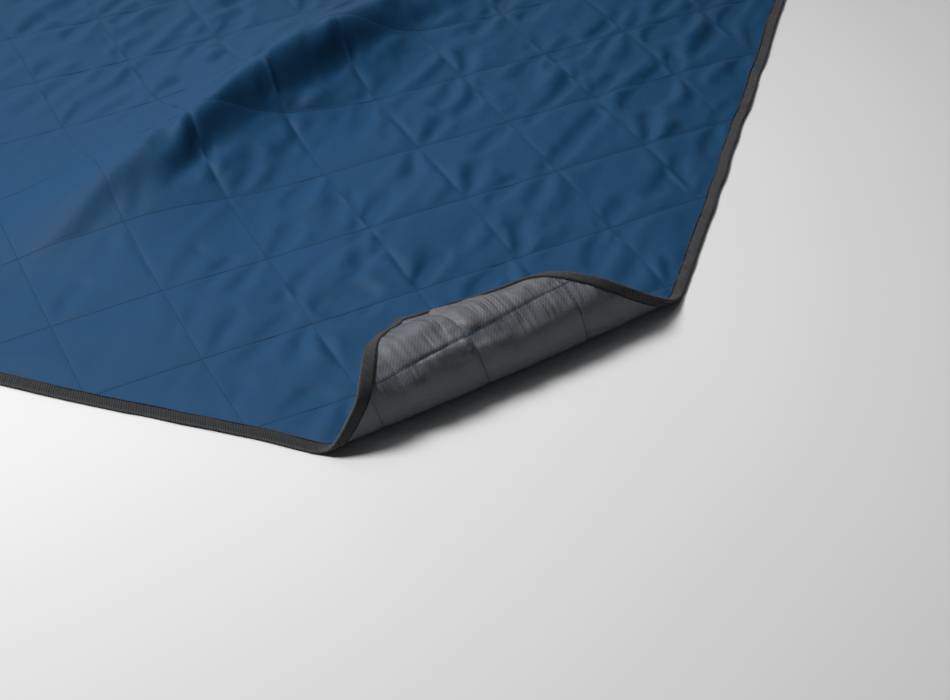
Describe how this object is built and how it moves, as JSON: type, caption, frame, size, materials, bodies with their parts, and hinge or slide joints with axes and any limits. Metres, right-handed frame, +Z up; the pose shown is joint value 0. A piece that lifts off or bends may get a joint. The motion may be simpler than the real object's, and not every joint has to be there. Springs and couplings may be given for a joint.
{
  "type": "camp blanket",
  "caption": "Quilted padded picnic and camping blanket with a bound edge, lying flat with one front corner rolled back to show the ripstop backing.",
  "frame": {"origin": "on the ground, under the middle of the blanket's rectangle", "axes": "+X along the front edge towards the folded corner's side, +Y along the right edge towards the back, +Z up"},
  "size_m": [1.4, 1.9, 0.066],
  "materials": {
    "cover": "satin woven polyester, dyed blue",
    "batting": "soft polyester wadding",
    "backing": "grey coated ripstop, slightly shiny",
    "binding": "charcoal woven tape, matt",
    "binding_thread": "black polyester thread",
    "quilting_thread": "blue polyester thread",
    "quilting_bobbin_thread": "blue polyester thread"
  },
  "bodies": {
    "blanket": {"top_cover": "cover", "top_cover_roll": "cover", "batting": "batting", "batting_roll": "batting", "backing": "backing", "backing_roll": "backing", "binding_left": "binding", "binding_back": "binding", "binding_front": "binding", "binding_right": "binding", "binding_front_roll": "binding", "binding_right_roll": "binding", "binding_needle_thread": "binding_thread", "binding_needle_thread_roll": "binding_thread", "binding_bobbin_thread": "binding_thread", "binding_bobbin_thread_roll": "binding_thread", "quilting_needle_thread": "quilting_thread", "quilting_needle_thread_roll": "quilting_thread", "quilting_bobbin_thread": "quilting_bobbin_thread", "quilting_bobbin_thread_roll": "quilting_bobbin_thread"},
    "corner_flap": {"top_cover_flap": "cover", "batting_flap": "batting", "backing_flap": "backing", "binding_front_flap": "binding", "binding_right_flap": "binding", "binding_needle_thread_flap": "binding_thread", "binding_bobbin_thread_flap": "binding_thread", "quilting_needle_thread_flap": "quilting_thread", "quilting_bobbin_thread_flap": "quilting_bobbin_thread"}
  },
  "joints": [
    {"name": "corner_fold", "type": "hinge", "parent": "blanket", "child": "corner_flap", "pos_m": [0.57821, -0.8495, 0.04857], "axis": [0.6429, 0.766, 0], "range_deg": [0, 209], "deforming": ["top_cover_roll", "batting_roll", "backing_roll", "binding_front_roll", "binding_right_roll", "binding_needle_thread_roll", "binding_bobbin_thread_roll", "quilting_needle_thread_roll", "quilting_bobbin_thread_roll"]}
  ]
}
